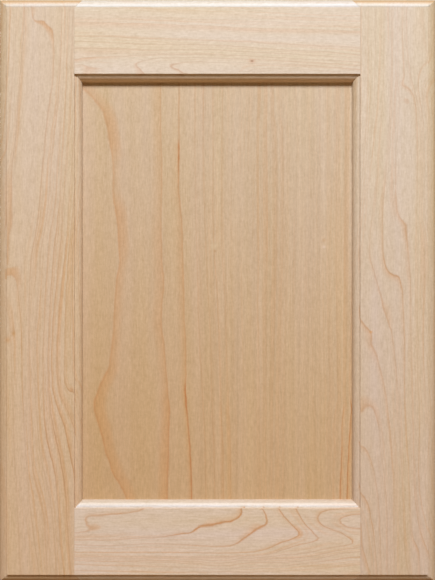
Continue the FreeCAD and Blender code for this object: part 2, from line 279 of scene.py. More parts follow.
# %% [markdown]
# The bottom rail has the boldest figure. Its lines run in from the left, climb in small steps and
# leave through the inner moulding, and the ones to the right fold back on themselves.

# %% The bottom rail's lines
BOTTOM_RAIL_LINES = [
    (7.5, 0, 0, 2, [(75, 512), (74, 526)]),
    (7.5, 0, 0, 2, [(90, 506), (112, 505)]),
    (7.3, 0, 0, 2, [(126, 507), (136, 504)]),
    (6.7, 0, 0, 2, [(130, 521), (152, 514), (172, 506)]),
    (7, 0, 0, 2, [(151, 505), (165, 500)]),
    (7, 0.85, 0.4, 2, [(146, 507), (143, 510), (135, 512), (125, 513), (115, 513.7),
                       (105, 514.5)]),
    (7, 0.5, 0.3, 2, [(105, 514.5), (92, 516), (86, 517.5), (83, 519.5), (86, 523.5)]),
    (7, 0.5, 0.5, -2, [(86, 523.5), (89, 526), (92, 528.5), (90, 531), (86, 532)]),
    (7, 0.4, 0.1, 2, [(86, 532), (80, 532.5), (74, 533)]),
    (6, 0.4, 0.1, 2, [(75, 540.5), (115, 540), (130, 538.5), (150, 538), (165, 536.5)]),
    (6, 0.9, 0.3, 2, [(165, 536.5), (172, 535.5), (178, 534.3), (184, 533.8), (190, 533.2)]),
    (6, 1.0, 0.9, -2, [(190, 533.2), (193.5, 532), (194.5, 529.5), (197, 527.5), (200, 526)]),
    (6, 1.0, 0.4, 2, [(200, 526), (211, 525), (216, 524.5), (220, 522.8), (226, 522.3),
                      (231, 521.5)]),
    (6, 1.0, 0.6, 2, [(231, 521.5), (235, 519), (238.5, 517.5), (240.5, 515), (242, 512.5),
                      (241, 505)]),
    (5, 0.35, 0, 2, [(75, 544.5), (115, 545.5), (145, 543.2), (185, 544.5), (215, 546.2)]),
    (5, 0.5, 0.1, 2, [(215, 546.2), (225, 546.2), (232, 545.5), (236, 543.5)]),
    (5, 0.95, 0.4, 2, [(236, 543.5), (239, 541), (243, 539), (246.5, 536.5)]),
    (5, 0.9, 0.8, 3, [(246.5, 536.5), (247, 534), (250, 531.5), (254, 530)]),
    (5, 0.85, 0.5, 2, [(254, 530), (259, 527.5), (264, 525), (266.5, 522)]),
    (5, 0.8, 0.8, -3, [(266.5, 522), (266, 518), (265.5, 514)]),
    (5, 0.7, 0.2, 2, [(265.5, 514), (263, 511.5), (261, 509), (260, 505)]),
    (4, 0.8, 0.2, 2, [(277, 505), (279.5, 510), (281, 513), (285, 517), (288, 521), (291, 524)]),
    (4, 0.8, 0.4, -2, [(291, 524), (294, 527), (297, 530)]),
    (4, 0.7, 1.0, -6, [(297, 530), (300.5, 532), (299.5, 536), (295, 538)]),
    (4, 0.75, 0.3, 2, [(295, 538), (290, 540), (284, 542), (278, 543.5), (272, 546.5),
                       (266, 549)]),
    (4, 0.4, 0.1, 2, [(266, 549), (258, 551), (250, 552.5), (220, 553.5), (180, 552), (76, 552)]),
    (3, 0.75, 0.4, 2, [(295, 505), (297, 511), (298.5, 515), (301, 518), (303, 521),
                       (305.5, 525)]),
    (3, 0.65, 0.2, 2, [(305.5, 525), (309, 528), (312, 531), (315.5, 535), (319, 538.5)]),
    (3, 0.5, 0.5, -3, [(319, 538.5), (316, 541), (310, 542.5)]),
    (3, 0.5, 0.2, 2, [(310, 542.5), (302, 543.5), (297, 545), (290, 547), (283, 550),
                      (276, 552.5)]),
    (3, 0.35, 0.1, 2, [(276, 552.5), (268, 554.5), (255, 556.5), (220, 557.5), (76, 557)]),
    (2, 0.6, 0.3, 2, [(362, 507.5), (345, 508.5), (335, 509), (327, 510.5), (322, 512.5)]),
    (2, 0.7, 0.5, 2, [(322, 512.5), (318.5, 516), (318, 519.5), (320, 523), (323, 525.5)]),
    (2, 0.65, 0.2, 2, [(323, 525.5), (328, 528), (333, 529.5), (338, 531), (342, 533),
                       (347, 536.5)]),
    (2, 0.7, 0.7, -3, [(347, 536.5), (351, 539), (353.5, 541.5), (351, 544.5)]),
    (2, 0.4, 0.1, 2, [(351, 544.5), (345, 546), (335, 547), (325, 548.5), (312, 552), (290, 555)]),
    (1, 0.6, 0.3, 2, [(362, 514), (352, 514.5), (347, 515.5), (342, 518), (339, 520.5),
                      (340, 523)]),
    (1, 0.5, 0.2, 2, [(340, 523), (344, 526), (349, 527.5), (354, 528), (362, 528.5)]),
    (1, 0.35, 0, 2, [(362, 547), (345, 549.5), (335, 551.5), (318, 555.5), (300, 558),
                     (240, 560)]),
    (0, 0.35, 0, 2, [(362, 551), (345, 552.5), (335, 555), (328, 556.5), (318, 559), (300, 561)]),
    (0, 0.2, 0.3, 3, [(200, 563.5), (170, 562), (125, 561), (76, 560)]),
    (-1, 0.5, 0.1, 2, [(362, 556.5), (350, 557), (340, 559), (330, 560.5), (308, 562.5),
                       (295, 564)]),
    (-1, 0.3, 0, 2, [(250, 567), (215, 568.5), (175, 567.5), (140, 566), (76, 565)]),
    (-2, 0.25, 0, 2, [(360, 565), (300, 570), (250, 572), (150, 572), (76, 570.5)]),
]
print(len(BOTTOM_RAIL_LINES), "stretches on the bottom rail")

# %% [markdown]
# The panel is veneer, peeled wide, so its rings are far apart: one soft flame on the left, a
# second beside it, a thin dark thread, and little more than two dark strokes low on the right.

# %% The panel's lines
PANEL_LINES = [
    (1, 0.35, 0.45, 4, [(80, 85), (84, 89), (90, 95), (95, 100), (100, 106), (104, 113)]),
    (1, 0.3, 0.75, 9, [(104, 113), (106, 119), (107.5, 127), (109, 135), (110.5, 145),
                       (112, 155)]),
    (1, 0.35, 0.3, 3, [(112, 155), (113.5, 165), (114, 175), (113.5, 190), (114, 200)]),
    (1, 0.35, 0.75, 8, [(114, 200), (115.5, 208), (117, 216), (118, 226), (118.5, 240),
                        (119.5, 252)]),
    (1, 0.35, 0.6, 4, [(119.5, 252), (120, 262), (118, 270), (116.5, 280), (116, 292),
                       (115, 305)]),
    (1, 0.35, 0.6, 4, [(115, 305), (114, 320), (113, 335), (112, 348), (110.5, 358),
                       (109.5, 366)]),
    (1, 0.4, 0.8, 6, [(109.5, 366), (106.5, 373), (102.5, 380), (99, 388), (96.5, 395),
                      (94.5, 400)]),
    (1, 0.5, 0.85, 11, [(94.5, 400), (94, 406), (95.5, 413), (97, 420), (100, 428)]),
    (1, 0.5, 0.85, 7, [(100, 428), (102.5, 436), (104, 445), (106, 453), (109, 461), (112, 469)]),
    (1, 0.5, 0.85, 7, [(112, 469), (115, 476), (119, 482), (123, 489), (126, 496), (128, 502)]),
    (3, 0.35, 0.35, -6, [(160.5, 85), (160.5, 130), (161.5, 150), (161.5, 200), (161, 230)]),
    (3, 0.4, 0.5, -6, [(161, 230), (161.5, 255), (163, 275), (163.5, 290), (161.5, 310),
                       (161, 325)]),
    (3, 0.4, 0.6, -4, [(161, 325), (163, 340), (164.5, 352), (165.5, 365), (166.5, 380),
                       (168, 395)]),
    (3, 0.55, 1.0, -6, [(168, 395), (169.5, 405), (169.5, 420), (169, 435), (168.5, 450)]),
    (3, 0.55, 1.0, -6, [(168.5, 450), (168, 465), (167.5, 480), (167.5, 502)]),
    (4, 0.5, 0.1, -2, [(179, 85), (179, 140)]),
    (4, 1.4, 0.6, -2, [(178.8, 146), (178.8, 166)]),
    (4, 0.6, 0.4, -3, [(178.8, 172), (178.5, 190), (180, 205), (181.5, 220)]),
    (4, 0.4, 0.5, -4, [(181.5, 220), (182.5, 240), (183, 260), (183.5, 285), (184, 310),
                       (185, 335)]),
    (4, 0.45, 0.55, -3, [(185, 335), (186, 355), (186, 368), (185.3, 380)]),
    (4, 1.5, 0.9, -2, [(185, 388), (184.7, 393), (186, 402), (187, 411)]),
    (4, 0.9, 0.7, -2, [(187, 411), (188, 422), (189, 435), (190, 450)]),
    (4, 1.1, 0.8, -2, [(190, 450), (191, 470), (191.5, 485), (191.5, 502)]),
    (5, 0.25, 0, 2, [(195, 85), (195, 150), (195.5, 200), (197, 250), (198, 300), (200, 350)]),
    (5, 0.3, 0.1, 2, [(200, 350), (203, 400), (205, 440), (206, 502)]),
    (6, 0.25, 0.1, 2, [(203, 85), (203, 150), (204, 200), (205, 230), (207, 270), (209, 310)]),
    (6, 0.25, 0.1, 2, [(209, 310), (211, 350), (212, 400), (214, 450), (215, 502)]),
    (7, 0.3, 0.1, 2, [(213, 85), (213, 200), (214, 250), (217, 290), (219, 340), (221, 400)]),
    (7, 0.35, 0.4, -4, [(221, 400), (223, 450), (223.5, 502)]),
    (14, 0.15, 0.35, -6, [(267, 85), (267, 125), (267, 175)]),
    (14, 0.15, 0.4, -5, [(267, 175), (267.5, 225), (267.5, 260)]),
    (14, 0.15, 0.2, -4, [(267.5, 260), (266, 300), (266, 350), (266, 502)]),
    (15, 0.1, 0.3, -4, [(276, 130), (276.5, 190), (276.5, 250)]),
    (15, 0.1, 0.3, -4, [(276.5, 250), (275, 300), (273, 380), (272, 502)]),
    (23, 0.15, 0, 2, [(320, 85), (320, 200), (319, 300), (320, 400), (321, 502)]),
    (25, 0.15, 0.25, 4, [(336, 85), (336, 200), (336, 280), (337, 350), (338, 400)]),
    (25, 0.2, 0.3, 3, [(335, 412), (333.5, 430), (335, 448)]),
    (26, 0.15, 0.35, 7, [(345, 85), (345, 200), (344, 300), (343, 400)]),
    (27, 1.2, 0.8, 2, [(352, 408), (350.5, 422), (349.8, 435), (348.8, 450)]),
    (27, 1.3, 0.9, 3, [(348.8, 450), (348, 465), (347.3, 480), (346.8, 502)]),
]
print(len(PANEL_LINES), "stretches on the panel")

figures = {
    "left_stile": LEFT_STILE_LINES,
    "right_stile": RIGHT_STILE_LINES,
    "top_rail": TOP_RAIL_LINES,
    "bottom_rail": BOTTOM_RAIL_LINES,
    "panel": PANEL_LINES,
}

# %% [markdown]
# ## A smooth surface through the lines
#
# A thin plate spline is the shape that a thin sheet of metal takes when it is pinned at given
# heights: it passes through every pin and bends as little as it can. Pinning it along each
# growth line at that line's number gives the whole board's ring numbers. The boldness needs no
# such care, so it is an average that only reaches a few pixels from each line.

# %% Fit the surface and read it anywhere
PIN_SPACING = 8.0  # pixels between pins along a line
STIFFNESS = 3.0  # lets the sheet miss a pin slightly, to stay smooth
REACH = 4.0  # pixels from a line at which its boldness fades
BATCH = 4000  # places read at a time


def pins_along(lines):
    """Pins every few pixels along every line: places, rings, and (boldness, glow, reach)."""
    places, values = [], []
    for ring, bold, glow, reach, points in lines:
        corners = np.array(points, float)
        lengths = np.hypot(*np.diff(corners, axis=0).T)
        along = np.concatenate([[0], np.cumsum(lengths)])
        stops = np.linspace(0, along[-1], max(2, round(along[-1] / PIN_SPACING) + 1))
        places.extend(zip(*(np.interp(stops, along, corners[:, k]) for k in (0, 1))))
        values.extend([(ring, bold, glow, reach)] * len(stops))
    values = np.array(values, float)
    return np.array(places), values[:, 0], values[:, 1:]


class Figure:
    """The ring number, its slope and the look of the nearest lines, all over one board."""

    def __init__(self, lines, depth):
        pixels, rings, self.looks = pins_along(lines)
        self.pins = np.array([on_board(pixel, depth) for pixel in pixels]) / PIXEL
        count = len(self.pins)
        plane = np.column_stack([np.ones(count), self.pins])
        system = np.zeros((count + 3, count + 3))
        _, squared = self.spans(self.pins)
        system[:count, :count] = 0.5 * squared * np.log(squared) + STIFFNESS * np.eye(count)
        system[:count, count:] = plane
        system[count:, :count] = plane.T
        self.weights = np.linalg.solve(system, np.concatenate([rings, np.zeros(3)]))

    def spans(self, places):
        """The steps from every pin to every place, and their squared lengths."""
        steps = places[:, None, :] - self.pins[None, :, :]
        return steps, (steps**2).sum(axis=2) + 1e-9

    def read(self, places):
        """Ring, slope, boldness, glow and reach at each place, one row for each."""
        count = len(self.pins)
        bend, tilt = self.weights[:count], self.weights[count:]
        rows = []
        for start in range(0, len(places), BATCH):
            here = places[start : start + BATCH]
            steps, squared = self.spans(here)
            logs = np.log(squared)
            ring = (0.5 * squared * logs) @ bend + tilt[0] + here @ tilt[1:]
            pull = (logs + 1) * bend
            slope = np.stack([(steps[:, :, k] * pull).sum(axis=1) + tilt[1 + k] for k in (0, 1)])
            near = np.exp(-squared / (2 * REACH**2))
            looks = (near @ self.looks) / (near.sum(axis=1) + 0.02)[:, None]
            rows.append(np.column_stack([ring, np.hypot(*slope), looks]))
        return np.concatenate(rows).T


for node, lines in figures.items():
    print(f"{node}: {len(pins_along(lines)[0])} pins hold its sheet")

# %% [markdown]
# ## Boards with room for a figure
#
# A number can only be stored at a vertex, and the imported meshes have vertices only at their
# corners. Cutting a copy of the mesh with parallel planes every two millimetres adds vertices
# all over it without moving any of its surface, so the moulding, the copes and the bores stay
# exactly as they were made.
#
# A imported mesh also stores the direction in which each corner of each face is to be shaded. The
# cuts make new corners, for which those directions are wrong, and they would draw ragged teeth
# round the hinge bores. So they are removed, and Blender finds its own: smooth over the rounds,
# and sharp where two faces meet at a clear angle.

# %% Slice a copy of each board
SLICE = 0.002
SHARP = math.radians(32)


def sliced_copy(node):
    """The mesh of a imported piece, merged and cut into a fine net."""
    mesh = bmesh.new()
    mesh.from_mesh(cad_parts[node].data)
    bmesh.ops.remove_doubles(mesh, verts=mesh.verts, dist=1e-6)
    low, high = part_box(node)
    for axis in (0, 2):
        for number in range(1, int((high[axis] - low[axis]) / SLICE) + 1):
            place, normal = Vector(), Vector()
            place[axis] = low[axis] + number * SLICE
            normal[axis] = 1
            everything = mesh.verts[:] + mesh.edges[:] + mesh.faces[:]
            bmesh.ops.bisect_plane(
                mesh, geom=everything, plane_co=place, plane_no=normal, dist=1e-7
            )
    return mesh


def make_board(node):
    """An object with the sliced copy of an imported board, shaded smooth."""
    cut = sliced_copy(node)
    data = bpy.data.meshes.new(f"{node}_wood")
    cut.to_mesh(data)
    cut.free()
    board = bpy.data.objects.new(f"{node}_wood", data)
    bpy.context.scene.collection.objects.link(board)
    data.attributes.remove(data.attributes["custom_normal"])
    data.shade_smooth()
    data.set_sharp_from_angle(angle=SHARP)
    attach(board, "root")
    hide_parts(node)
    print(f"{node}: {len(data.vertices)} vertices")
    return board


boards = {node: make_board(node) for node in figures}

# %% [markdown]
# ## Rings inside the wood
#
# The rings don't stop at the face. Behind it the ring number rises steadily with depth, as it
# does in a board sawn from the side of a trunk, so the edges, the copes, the bores and the back
# are cut from the same tree. The width of one year, at right angles to the rings, follows from
# how fast the number changes in all directions. The finish needs it to draw lines of an even
# width.

# %% Store the figure on each board
RINGS_PER_METRE_DEEP = 90.0  # how fast the ring number changes behind the face


def store_figure(board, lines, depth):
    """Keep the ring number and the look of the lines at every vertex."""
    points = np.zeros(len(board.data.vertices) * 3, np.float32)
    board.data.vertices.foreach_get("co", points)
    points = points.reshape(-1, 3)
    ring, slope, bold, glow, reach = Figure(lines, depth).read(points[:, [0, 2]] / PIXEL)
    behind = points[:, 1] - front_y - depth
    for name, values in (
        ("ring", ring + behind * RINGS_PER_METRE_DEEP),
        ("year_width", 1 / np.hypot(slope / PIXEL, RINGS_PER_METRE_DEEP)),
        ("bold", bold),
        ("glow", glow),
        ("reach", reach * PIXEL),
    ):
        layer = board.data.attributes.new(name, "FLOAT", "POINT")
        layer.data.foreach_set("value", values.astype(np.float32))
    print(f"{board.name}: rings {ring.min():.1f} to {ring.max():.1f} on its face")


panel_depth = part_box("panel")[0].y - front_y
for node, board in boards.items():
    store_figure(board, figures[node], panel_depth if node == "panel" else 0.0)

# %% [markdown]
# ## Writing a material as sums
#
# A material is a graph of nodes, but most of it is arithmetic. The first class below stands for
# one output of a node, and adding or multiplying two of them makes the Math node that does it.
# The others make all other nodes in one way, so that a finish reads like the sentence that
# describes it.


# %% A socket that can be used in sums
class Signal:
    """One output of a shader node, usable in ordinary sums."""

    def __init__(self, finish, socket):
        self.finish = finish
        self.socket = socket

    def math(self, operation, *others):
        return self.finish.node("ShaderNodeMath", {"operation": operation}, [self, *others])

    def __add__(self, other):
        return self.math("ADD", other)

    def __sub__(self, other):
        return self.math("SUBTRACT", other)

    def __rsub__(self, other):
        return self.finish.node("ShaderNodeMath", {"operation": "SUBTRACT"}, [other, self])

    def __mul__(self, other):
        return self.math("MULTIPLY", other)

    def __truediv__(self, other):
        return self.math("DIVIDE", other)

    def __neg__(self):
        return self * -1.0

    __radd__ = __add__
    __rmul__ = __mul__


# %% A finish, which makes every node the same way
class Nodes:
    """A tree of shader nodes being made: every node comes from node()."""

    def __init__(self, tree):
        self.tree = tree

    def node(self, kind, settings=None, inputs=(), output=0):
        """A node with its settings, and the values or links of its sockets, in that order."""
        made = self.tree.nodes.new(kind)
        for name, value in (settings or {}).items():
            setattr(made, name, value)
        pairs = inputs.items() if isinstance(inputs, dict) else enumerate(inputs)
        for name, value in pairs:
            self.feed(made.inputs[name], value)
        return Signal(self, made.outputs[output])

    def feed(self, socket, value):
        """Link a signal to a socket, or set a plain value on it."""
        if isinstance(value, Signal):
            self.tree.links.new(value.socket, socket)
        else:
            socket.default_value = value

    def show(self, shader):
        """Send a shader to the tree's output."""
        output = next(n for n in self.tree.nodes if n.type.startswith("OUTPUT"))
        self.feed(output.inputs["Surface"], shader)


class Finish(Nodes):
    """A material, with the patterns that the finishes below share."""

    def __init__(self, name):
        self.material = bpy.data.materials.new(name)
        self.material.use_nodes = True
        super().__init__(self.material.node_tree)
        self.shader = self.tree.nodes["Principled BSDF"]

    def set(self, name, value):
        self.feed(self.shader.inputs[name], value)

    def attribute(self, name):
        return self.node("ShaderNodeAttribute", {"attribute_name": name}, output="Fac")

    def place(self):
        return self.node("ShaderNodeTexCoord", output="Object")

    def part(self, vector, axis):
        """One of the three numbers of a vector."""
        return self.node("ShaderNodeSeparateXYZ", None, [vector], output=axis)

    def vector(self, operation, first, second, output=0):
        settings = {"operation": operation}
        return self.node("ShaderNodeVectorMath", settings, [first, second], output)

    def noise(self, scales, seed, roughness=0.5):
        """Noise whose grains are 1/scale metres long along each axis."""
        spot = self.vector("ADD", self.vector("MULTIPLY", self.place(), scales), [seed] * 3)
        inputs = {"Vector": spot, "Scale": 1.0, "Detail": 2.0, "Roughness": roughness}
        return self.node("ShaderNodeTexNoise", None, inputs)

    def ramp(self, value, low, high):
        """0 below low, 1 above high, smooth between."""
        settings = {"interpolation_type": "SMOOTHSTEP"}
        return self.node("ShaderNodeMapRange", settings, {0: value, 1: low, 2: high})

    def bell(self, offset):
        """1 where the offset is 0, falling away to nothing within about 2."""
        return (-(offset * offset)).math("EXPONENT")

    def mix(self, amount, first, second, blend="MIX"):
        settings = {"data_type": "RGBA", "blend_type": blend, "clamp_factor": True}
        return self.node("ShaderNodeMix", settings, {0: amount, 6: first, 7: second}, output=2)


def colour(red, green, blue):
    """A colour as a photograph shows it, from 0 to 255, turned into light."""
    channels = [c / 255 for c in (red, green, blue)]
    return [c / 12.92 if c <= 0.04045 else ((c + 0.055) / 1.055) ** 2.4 for c in channels] + [1.0]


print("mid grey is", round(colour(128, 128, 128)[0], 3), "as light")

# %% [markdown]
# ## The grain
#
# Hard maple is pale and close grained. From near to far it shows fine fibres and flecks, longer
# threads of darker fibre, and a slow drift between cream and golden. Each is one noise, drawn out
# along the board by giving it fewer grains to the metre that way.

# %% Noises along the grain
# Grains to a metre, across the board and along it.
FIBRES = (1300, 170)
THREADS = (520, 7)
FLECKS = (620, 620)
DRIFT = (70, 5)
WAVES = (240, 90)
UPRIGHT, LEVEL = 2, 0  # the axis that a board's grain follows


def grain(finish, along_axis, scales, seed, roughness=0.5):
    """A noise that is drawn out along the grain."""
    across, along = scales
    scales = [along if axis == along_axis else across for axis in range(3)]
    return finish.noise(scales, seed, roughness)


def grain_tones(finish, along_axis, seed, fibres, close, threading, rightwards):
    """What the grain multiplies the wood's red, green and blue by."""
    threads = grain(finish, along_axis, THREADS, seed + 4)
    flecks = grain(finish, along_axis, FLECKS, seed + 6)
    golden = grain(finish, along_axis, DRIFT, seed + 8) - 0.5
    streaky = (threads - 0.5) * (close * 0.65 + 0.35) * threading
    grainy = (fibres - 0.5) * 0.42 + streaky + (flecks - 0.5) * 0.24
    side = finish.part(finish.place(), 0)
    right = finish.ramp(side, -door_width / 2, door_width / 2)
    tones = [
        grainy * depth - golden * yellow + right * paler + 1.0
        for depth, yellow, paler in zip((0.8, 1.0, 1.4), (0.05, 0.1, 0.45), rightwards)
    ]
    return finish.node("ShaderNodeCombineColor", None, tones)


# %% [markdown]
# ## Growth lines
#
# A line is drawn wherever the ring number is nearly whole. The gap to the nearest whole number
# times the width of a year is the distance to the line in metres, so a line stays as thin as it
# is on the real board, however far apart the rings are. The wood beside a bold line glows in a
# paler orange, on one side only, because the wood of late summer shades into the line and stops
# there. Where years are narrow they also give the board faint stripes, and a few small specks
# are listed one by one.

# %% Lines, stripes and specks
LINE_WIDTH = 0.00031
STRAY = 0.0010  # how far a line strays from side to side, in metres
INK = 0.7  # how much of its colour a line of full boldness shows
GLOW_STARTS = (-0.0006, 0.0002)  # metres over which the glow begins at its line
CLOSE_YEARS = (0.0055, 0.0095)  # metres; years narrower than this crowd together


def growth_lines(finish, ring, year_width, fibres):
    """How much a line shows, and how much the glow beside it does."""
    distance = (ring - ring.math("ROUND")) * year_width
    broken = finish.ramp(fibres, 0.35, 0.6) * 0.5 + 0.65
    core = finish.bell(distance / LINE_WIDTH) * finish.attribute("bold") * broken
    reach = finish.attribute("reach")
    sided = distance * reach.math("SIGN")
    beyond = sided.math("MAXIMUM", 0.0) / (reach.math("ABSOLUTE") + 1e-5)
    beside = finish.bell(beyond) * finish.ramp(sided, *GLOW_STARTS) * finish.attribute("glow")
    return core, beside


def ring_stripes(finish, along_axis, seed, ring):
    """Stripes that follow the rings."""
    lengths = finish.part(finish.place(), along_axis)
    spot = finish.node("ShaderNodeCombineXYZ", None, [ring * 2.6 + seed, lengths * 7.0])
    inputs = {"Vector": spot, "Scale": 1.0, "Detail": 3.0, "Roughness": 0.6}
    bands = finish.node("ShaderNodeTexNoise", {"noise_dimensions": "2D"}, inputs)
    return finish.ramp(bands, 0.48, 0.72)


def speck(finish, wood, pixel, size, depth, strength, shade):
    """A soft oval spot: its pixel, half its width and height in pixels, and its board's depth."""
    across, up = on_board(pixel, depth)
    offset = finish.vector("SUBTRACT", finish.place(), (across, front_y + depth, up))
    scaled = finish.vector("DIVIDE", offset, (size[0] * PIXEL, 0.01, size[1] * PIXEL))
    squared = finish.vector("DOT_PRODUCT", scaled, scaled, output="Value")
    return finish.mix((-squared).math("EXPONENT") * strength, wood, shade)


# %% [markdown]
# ## Painted light on the mouldings, and cut ends
#
# In the photograph the rounds have other tones than these lamps alone would give them, because of
# light from a room that isn't modelled here. The tones below paint that light and shade into the
# wood: they are simply the ones that made the render match, and in other light they are the first
# thing to doubt. Which way a place faces picks the tone: the crest is just turning up, the crown
# looks up, the underside looks down, and the rim is the last of the stiles' outer edge. The
# underside and the rim get painted shade, and the crest and the crown a painted highlight on some
# boards and painted shade on others.
# Where the moulding turns over the end of a board the wood is cut across, and end grain is
# darker and redder.

# %% Painted light and shade of the mouldings
EDGE_ROUND = 0.00635
RIM = 0.005  # metres from the outer edge, within which the rim's tone is full
# Painted shade on the stiles' outer rounds.
RIM_PAINTED_SHADE = (0.93, 0.92, 0.9, 1.0)
# Painted shade on the crests of boards that set no crest tone of their own.
CREST_PAINTED_SHADE = (0.7, 0.73, 0.77, 1.0)
PLAIN = (1.0, 1.0, 1.0, 1.0)
END_GRAIN = colour(196, 156, 112)


def moulded(finish, wood, along_axis, crest_painted_shading, crown_painted_shading, underside_painted_shade):
    """The wood with the painted light and shade of its mouldings, and its cut ends."""
    normal = finish.node("ShaderNodeTexCoord", output="Normal")
    upward = finish.part(normal, 2)
    level = finish.ramp(upward, 0.985, 0.999)
    crown_paint_mask = finish.ramp(upward, 0.3, 0.55)
    # Painted shade and painted highlights on the rounds, by which way they face.
    wood = finish.mix(finish.ramp(upward, 0.0, 0.12) - crown_paint_mask, wood, crest_painted_shading, blend="MULTIPLY")
    wood = finish.mix(crown_paint_mask - level, wood, crown_painted_shading, blend="MULTIPLY")
    # Painted shade on surfaces that face down.
    wood = finish.mix(finish.ramp(-upward, 0.3, 0.7), wood, underside_painted_shade, blend="MULTIPLY")
    # Painted shade on the last of the stiles' outer rounds.
    side = finish.part(finish.place(), 0).math("ABSOLUTE")
    rim_shade_mask = finish.ramp(side, door_width / 2 - EDGE_ROUND, door_width / 2 - RIM)
    wood = finish.mix(rim_shade_mask, wood, RIM_PAINTED_SHADE, blend="MULTIPLY")
    cut_across = finish.ramp(finish.part(normal, along_axis).math("ABSOLUTE"), 0.35, 0.8)
    return finish.mix(cut_across * 0.85, wood, END_GRAIN)


# %% [markdown]
# ## The maple finish
#
# One function puts these together, from the widest to the finest: the board's own colour, then
# stripes, glow, lines and specks, then the grain over all of them, then the painted light and
# shade of the mouldings. The colour changes from the top of the door to its foot and, on some
# boards, to the right. It was fitted to the photograph like the tones of the rounds, and where the
# top is paler that is partly the board's own colour and partly a painted sheen. The lines fade
# where the wood turns away from the face, as they do in the photograph. Unfinished maple that has
# been sanded has a satin sheen, a little rougher on the pale fibres.


# %% Put the maple together
FACE_ON = (0.95, 0.998)  # how squarely the wood faces the front as its lines come up


def maple(
    name,
    along_axis,
    head,
    foot,
    line,
    glow,
    seed,
    stripes=0.3,
    threading=0.16,
    rightwards=(0, 0, 0),
    crest_painted_shading=CREST_PAINTED_SHADE,
    crown_painted_shading=PLAIN,
    underside_painted_shade=PLAIN,
    specks=(),
):
    """head and foot are the colours at the top and the bottom of the door; a paler head is partly
    painted sheen.
    """
    finish = Finish(name)
    fibres = grain(finish, along_axis, FIBRES, seed, roughness=0.6)
    waves = grain(finish, along_axis, WAVES, seed + 12)
    year_width = finish.attribute("year_width")
    ring = finish.attribute("ring") + (waves - 0.5) * STRAY / year_width
    close = 1.0 - finish.ramp(year_width, *CLOSE_YEARS)
    backward = finish.part(finish.node("ShaderNodeTexCoord", output="Normal"), 1)
    flat = finish.ramp(-backward, *FACE_ON) * 0.9 + 0.1

    # Top to foot: partly the board's own colour, partly a painted sheen that pales the top.
    wood = finish.mix(finish.ramp(finish.part(finish.place(), 2), 0.0, door_height), foot, head)
    wood = finish.mix(
        ring_stripes(finish, along_axis, seed, ring) * close * stripes, wood, glow
    )
    core, beside = growth_lines(finish, ring, year_width, fibres)
    wood = finish.mix(beside * flat * INK, wood, glow)
    wood = finish.mix(core * flat * INK, wood, line)
    for spot in specks:
        wood = speck(finish, wood, *spot)
    tones = grain_tones(finish, along_axis, seed, fibres, close, threading, rightwards)
    wood = finish.mix(1.0, wood, tones, blend="MULTIPLY")
    wood = moulded(finish, wood, along_axis, crest_painted_shading, crown_painted_shading, underside_painted_shade)

    finish.set("Base Color", wood)
    finish.set("Roughness", 0.4 + fibres * 0.1)
    finish.set("Specular IOR Level", 0.8)
    bump = {"Strength": 0.12, "Distance": 0.0002, "Height": fibres}
    finish.set("Normal", finish.node("ShaderNodeBump", None, bump))
    return finish.material


# %% [markdown]
# ## Five boards from different trees
#
# No two boards of a door match. The left stile is the darkest of the frame and has the most
# lines, the right stile and the rails are paler, and the panel is a golden veneer that grows
# paler to the right. The grain runs up the stiles and the panel, and along the rails. Each board
# has a seed of its own, so no two share their fibres.

